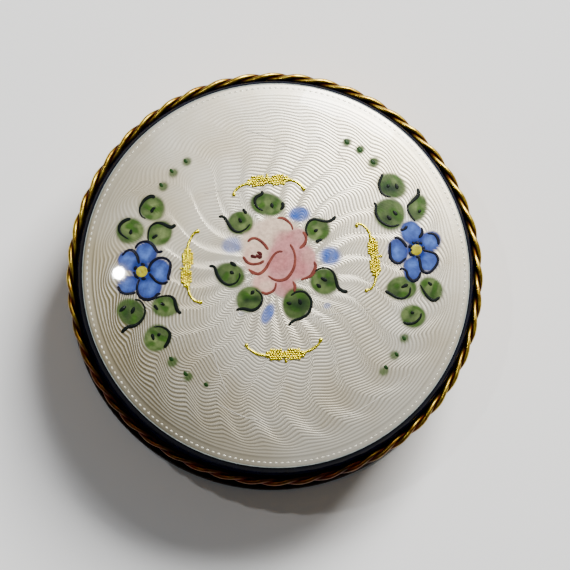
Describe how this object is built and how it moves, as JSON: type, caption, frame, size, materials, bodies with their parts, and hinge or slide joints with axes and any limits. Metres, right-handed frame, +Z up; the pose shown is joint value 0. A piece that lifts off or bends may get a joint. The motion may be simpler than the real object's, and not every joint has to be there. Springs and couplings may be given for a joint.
{
  "type": "pill box",
  "caption": "Round hinged gilt brass pill box with a domed guilloche enamel lid, floral motif, gold scrolls and a twisted rope rim.",
  "frame": {"origin": "centre of the flat underside", "axes": "+Z up through the lid's crown, +Y towards the hinge, so the lid opens at -Y"},
  "size_m": [0.0414, 0.0414, 0.0148],
  "materials": {
    "pale_enamel": "gloss",
    "dark_enamel": "gloss",
    "counter_enamel": "gloss",
    "silvered_plate": "polished",
    "gold_foil": "polished",
    "rope_gilt": "polished",
    "gilt_wall": "polished",
    "gilt_inside": "satin",
    "gilt_hinge": "satin",
    "hinge_pin": "satin"
  },
  "bodies": {
    "base": {"base_floor": "gilt_inside", "base_wall": "gilt_wall", "foot_ring": "gilt_wall", "base_collar": "gilt_inside", "base_hinge_bearer": "gilt_wall", "base_knuckles": "gilt_hinge", "hinge_pin": "hinge_pin"},
    "lid": {"lid_frame": "gilt_wall", "rope_rim": "rope_gilt", "pale_enamel": "pale_enamel", "dark_border_enamel": "dark_enamel", "guilloche_plate": "silvered_plate", "counter_enamel": "counter_enamel", "lid_lining": "gilt_inside", "gold_scroll_right": "gold_foil", "gold_scroll_back": "gold_foil", "gold_scroll_left": "gold_foil", "gold_scroll_front": "gold_foil", "lid_hinge_bearer": "gilt_wall", "lid_knuckles": "gilt_hinge"}
  },
  "joints": [
    {"name": "lid_hinge", "type": "hinge", "parent": "base", "child": "lid", "pos_m": [0, 0.01995, 0.0082], "axis": [-1, 0, 0], "range_deg": [0, 100]}
  ]
}
